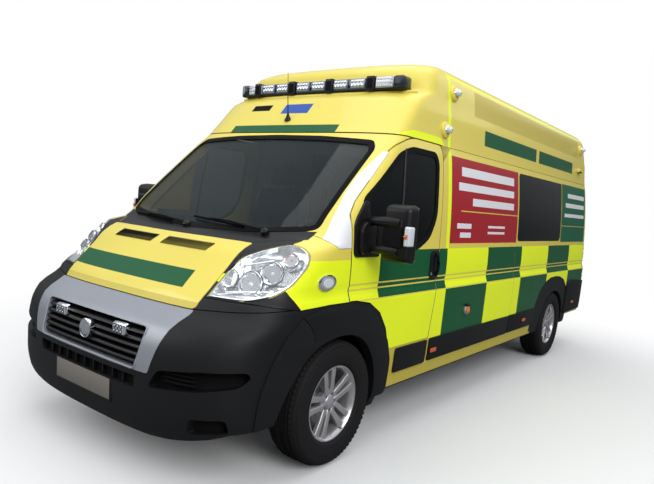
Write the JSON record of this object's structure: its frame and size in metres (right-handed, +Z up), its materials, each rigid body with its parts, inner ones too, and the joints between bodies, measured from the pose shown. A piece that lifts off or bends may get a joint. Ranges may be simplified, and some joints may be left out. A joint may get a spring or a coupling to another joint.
{
  "type": "ambulance",
  "caption": "High-roof long panel-van ambulance with hinged cab doors, rear doors and bonnet, steered front wheels, roof light bar and fitted load space.",
  "frame": {"origin": "centre of the vehicle's bounding box at ground level", "axes": "+Z up, -Y towards the front of the vehicle, +X to the vehicle's left"},
  "size_m": [2.6, 6.285, 2.6],
  "materials": {
    "body_paint": "gloss pale yellow",
    "bumper_plastic": "grained charcoal",
    "surround_plastic": "satin silver grey",
    "window_glass": "tinted",
    "lamp_clear": "clear lens",
    "lamp_red": "red lens",
    "bar_plastic": "dark blue and black",
    "cab_plastic": "grained grey",
    "wheel_grip": "black grip",
    "seat_fabric": "dark woven",
    "cabinet": "plain white laminate",
    "bed_vinyl": "wipe clean cover",
    "chassis": "dark undercoat",
    "step_alloy": "tread plate",
    "hub_steel": "machined",
    "engine_metal": "cast",
    "exhaust_steel": "dull",
    "tyre_rubber": "matt black",
    "rim_alloy": "painted silver"
  },
  "bodies": {
    "body": {"roof": "body_paint", "side_left": "body_paint", "side_right": "body_paint", "sliding_door": "body_paint", "sliding_door_window": "window_glass", "wing_left": "body_paint", "wing_right": "body_paint", "front_bumper": "bumper_plastic", "grille_surround": "surround_plastic", "grille": "bumper_plastic", "scuttle_panel": "bumper_plastic", "windscreen": "window_glass", "headlight_left": "lamp_clear", "headlight_right": "lamp_clear", "rear_lamp_left": "lamp_red", "rear_lamp_right": "lamp_red", "flare_rear_left": "bumper_plastic", "flare_rear_right": "bumper_plastic", "side_window_left": "window_glass", "side_window_right": "window_glass", "cab_frame": "body_paint", "floor": "chassis", "bulkhead": "cab_plastic", "locker_unit": "cabinet", "stretcher": "bed_vinyl", "dashboard": "cab_plastic", "seat_driver": "seat_fabric", "seat_passenger": "seat_fabric", "light_bar": "bar_plastic", "rear_step": "step_alloy", "front_subframe": "chassis", "rear_axle": "chassis", "engine": "engine_metal", "exhaust": "exhaust_steel"},
    "door_left": {"door_left": "body_paint", "door_glass_left": "window_glass", "mirror_left": "bumper_plastic"},
    "door_right": {"door_right": "body_paint", "door_glass_right": "window_glass", "mirror_right": "bumper_plastic"},
    "rear_door_left": {"rear_door_left": "body_paint", "rear_window_left": "window_glass"},
    "rear_door_right": {"rear_door_right": "body_paint", "rear_window_right": "window_glass"},
    "bonnet": {"bonnet": "body_paint"},
    "steering_wheel": {"steering_wheel": "wheel_grip"},
    "knuckle_left": {"knuckle_left": "hub_steel"},
    "knuckle_right": {"knuckle_right": "hub_steel"},
    "wheel_front_left": {"tyre_front_left": "tyre_rubber", "rim_front_left": "rim_alloy"},
    "wheel_front_right": {"tyre_front_right": "tyre_rubber", "rim_front_right": "rim_alloy"},
    "wheel_rear_left": {"tyre_rear_left": "tyre_rubber", "rim_rear_left": "rim_alloy"},
    "wheel_rear_right": {"tyre_rear_right": "tyre_rubber", "rim_rear_right": "rim_alloy"}
  },
  "joints": [
    {"name": "door_left_hinge", "type": "hinge", "parent": "body", "child": "door_left", "pos_m": [1.026, -2.114, 1.06], "axis": [0, 0, -1], "range_deg": [0, 70]},
    {"name": "door_right_hinge", "type": "hinge", "parent": "body", "child": "door_right", "pos_m": [-1.026, -2.114, 1.06], "axis": [0, 0, 1], "range_deg": [0, 70]},
    {"name": "rear_door_left_hinge", "type": "hinge", "parent": "body", "child": "rear_door_left", "pos_m": [0.914, 3.0875, 0.52], "axis": [0, 0, -1], "range_deg": [0, 180]},
    {"name": "rear_door_right_hinge", "type": "hinge", "parent": "body", "child": "rear_door_right", "pos_m": [-0.914, 3.0875, 0.52], "axis": [0, 0, 1], "range_deg": [0, 180]},
    {"name": "bonnet_hinge", "type": "hinge", "parent": "body", "child": "bonnet", "pos_m": [0, -2.5075, 1.275], "axis": [-1, 0, 0], "range_deg": [0, 55]},
    {"name": "steer_left", "type": "hinge", "parent": "body", "child": "knuckle_left", "pos_m": [0.8, -2.1575, 0.365], "axis": [0, 0, 1], "range_deg": [-35, 35]},
    {"name": "steer_right", "type": "hinge", "parent": "body", "child": "knuckle_right", "pos_m": [-0.8, -2.1575, 0.365], "axis": [0, 0, 1], "range_deg": [-35, 35]},
    {"name": "steering_wheel_turn", "type": "hinge", "parent": "body", "child": "steering_wheel", "pos_m": [0.5, -1.6875, 1.225], "axis": [0, 0.788, 0.6157], "range_deg": [-560, 560]},
    {"name": "wheel_front_left_spin", "type": "hinge", "parent": "knuckle_left", "child": "wheel_front_left", "pos_m": [0.905, -2.1575, 0.365], "axis": [1, 0, 0], "continuous": true},
    {"name": "wheel_front_right_spin", "type": "hinge", "parent": "knuckle_right", "child": "wheel_front_right", "pos_m": [-0.905, -2.1575, 0.365], "axis": [1, 0, 0], "continuous": true},
    {"name": "wheel_rear_left_spin", "type": "hinge", "parent": "body", "child": "wheel_rear_left", "pos_m": [0.895, 1.8775, 0.365], "axis": [1, 0, 0], "continuous": true},
    {"name": "wheel_rear_right_spin", "type": "hinge", "parent": "body", "child": "wheel_rear_right", "pos_m": [-0.895, 1.8775, 0.365], "axis": [1, 0, 0], "continuous": true}
  ],
  "couplings": [
    {"joint": "steer_right", "follows": "steer_left", "ratio": 1},
    {"joint": "steering_wheel_turn", "follows": "steer_left", "ratio": -16}
  ]
}
